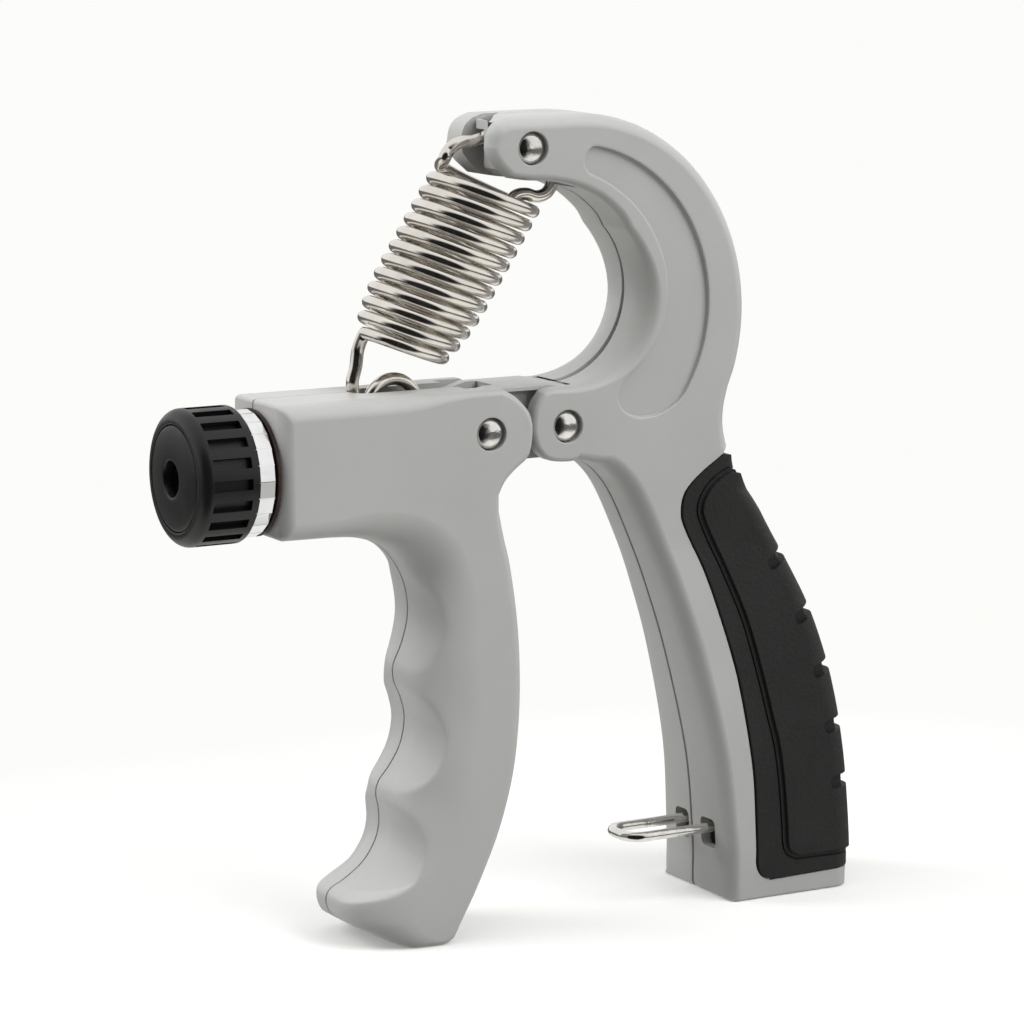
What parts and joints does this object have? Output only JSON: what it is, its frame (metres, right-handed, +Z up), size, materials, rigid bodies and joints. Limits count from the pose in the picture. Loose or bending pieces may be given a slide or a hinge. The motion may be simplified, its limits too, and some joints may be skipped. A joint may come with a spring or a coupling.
{
  "type": "hand gripper",
  "caption": "Adjustable hand gripper: a finger handle hinged on a link to a hooked palm handle, held open by a coil spring that a knob tightens, with a wire locking bail.",
  "frame": {"origin": "middle of the palm handle's flat foot, on the plane it stands on", "axes": "+Z up along the handles to the top of the hooked arm, +X from the knob towards the palm handle's rubber back, +Y across the handles to their far side"},
  "size_m": [0.1397, 0.0283, 0.1533],
  "materials": {
    "grey_plastic": "satin moulded",
    "black_plastic": "satin moulded",
    "black_rubber": "matte",
    "spring_steel": "bright nickel plated",
    "plated_steel": "bright plated",
    "chrome_collar": "bright turned",
    "brass_nut": "machined",
    "nylon": "moulded",
    "fibre_washer": "pressed fibre"
  },
  "bodies": {
    "palm_handle": {"palm_shell_near": "grey_plastic", "palm_shell_far": "grey_plastic", "palm_grip_rubber": "black_rubber", "link": "grey_plastic", "spring_hanger": "grey_plastic", "spring_pin_rivet": "plated_steel", "palm_pivot_rivet": "plated_steel", "palm_screw_1": "plated_steel", "palm_screw_2": "plated_steel", "palm_screw_3": "plated_steel", "spring": "spring_steel"},
    "finger_handle": {"finger_shell_near": "grey_plastic", "finger_shell_far": "grey_plastic", "finger_pivot_rivet": "plated_steel", "finger_screw_1": "plated_steel", "finger_screw_2": "plated_steel", "barrel_bush": "nylon", "thrust_washer": "fibre_washer"},
    "knob_assembly": {"knob": "black_plastic", "knob_cap": "black_plastic", "knob_collar": "chrome_collar", "adjusting_screw": "plated_steel", "screw_retaining_ring": "plated_steel"},
    "nut_assembly": {"travelling_nut": "brass_nut", "nut_pin": "plated_steel"},
    "bail": {"locking_bail": "plated_steel"}
  },
  "joints": [
    {"name": "grip_squeeze", "type": "hinge", "parent": "palm_handle", "child": "finger_handle", "pos_m": [-0.0656, 0, 0.0952], "axis": [0, -1, 0], "range_deg": [0, 24], "stiffness_Nm_per_rad": 8, "springref_deg": -17.19, "deforming": ["spring"]},
    {"name": "knob_turn", "type": "hinge", "parent": "finger_handle", "child": "knob_assembly", "pos_m": [-0.1136, 0, 0.0901], "axis": [1, 0, 0], "range_deg": [-1152, 432], "deforming": ["spring"]},
    {"name": "nut_slide", "type": "slide", "parent": "finger_handle", "child": "nut_assembly", "axis": [1, 0, 0], "range_m": [-0.00151, 0.00401], "deforming": ["spring"]},
    {"name": "bail_swing", "type": "hinge", "parent": "palm_handle", "child": "bail", "pos_m": [-0.0094, 0, 0.0134], "axis": [0, 1, 0], "range_deg": [-26, 6]}
  ],
  "couplings": [
    {"joint": "nut_slide", "follows": "knob_turn", "m_per_rad": -0.00019894}
  ]
}
